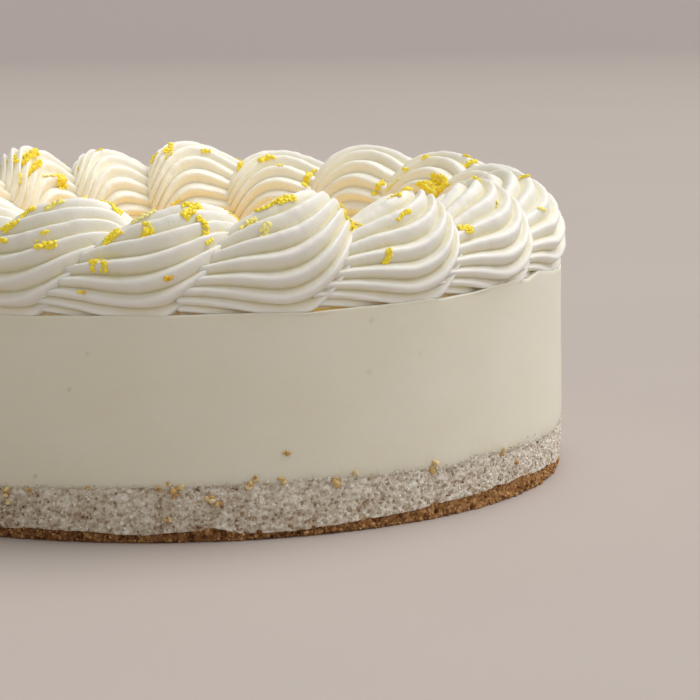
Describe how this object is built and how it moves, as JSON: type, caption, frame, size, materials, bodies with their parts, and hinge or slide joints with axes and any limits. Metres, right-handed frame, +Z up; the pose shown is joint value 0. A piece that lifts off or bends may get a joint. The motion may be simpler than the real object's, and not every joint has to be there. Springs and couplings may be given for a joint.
{
  "type": "lemon cheesecake",
  "caption": "Round cheesecake on a crumb base and a sponge layer, topped with lemon curd and a ring of piped cream shells with lemon zest.",
  "frame": {"origin": "centre of the flat underside of the crumb base", "axes": "+Z up the axis of the cake; -Y to the side that the picture looks at, +X to its right"},
  "size_m": [0.2024, 0.2031, 0.0834],
  "materials": {
    "biscuit": "golden brown baked crumb, rough",
    "sponge": "pale open sponge, rough",
    "filling": "smooth set cream, dull satin",
    "curd": "lemon curd, glossy",
    "piping": "whipped cream with grated lemon zest, satin"
  },
  "bodies": {
    "root": {"biscuit_base": "biscuit", "sponge_layer": "sponge", "cream_filling": "filling", "lemon_curd": "curd", "shell_01": "piping", "shell_02": "piping", "shell_03": "piping", "shell_04": "piping", "shell_05": "piping", "shell_06": "piping", "shell_07": "piping", "shell_08": "piping", "shell_09": "piping", "shell_10": "piping", "shell_11": "piping", "shell_12": "piping", "shell_13": "piping", "shell_14": "piping", "shell_15": "piping", "shell_16": "piping", "shell_17": "piping", "shell_18": "piping", "shell_19": "piping"}
  },
  "joints": []
}
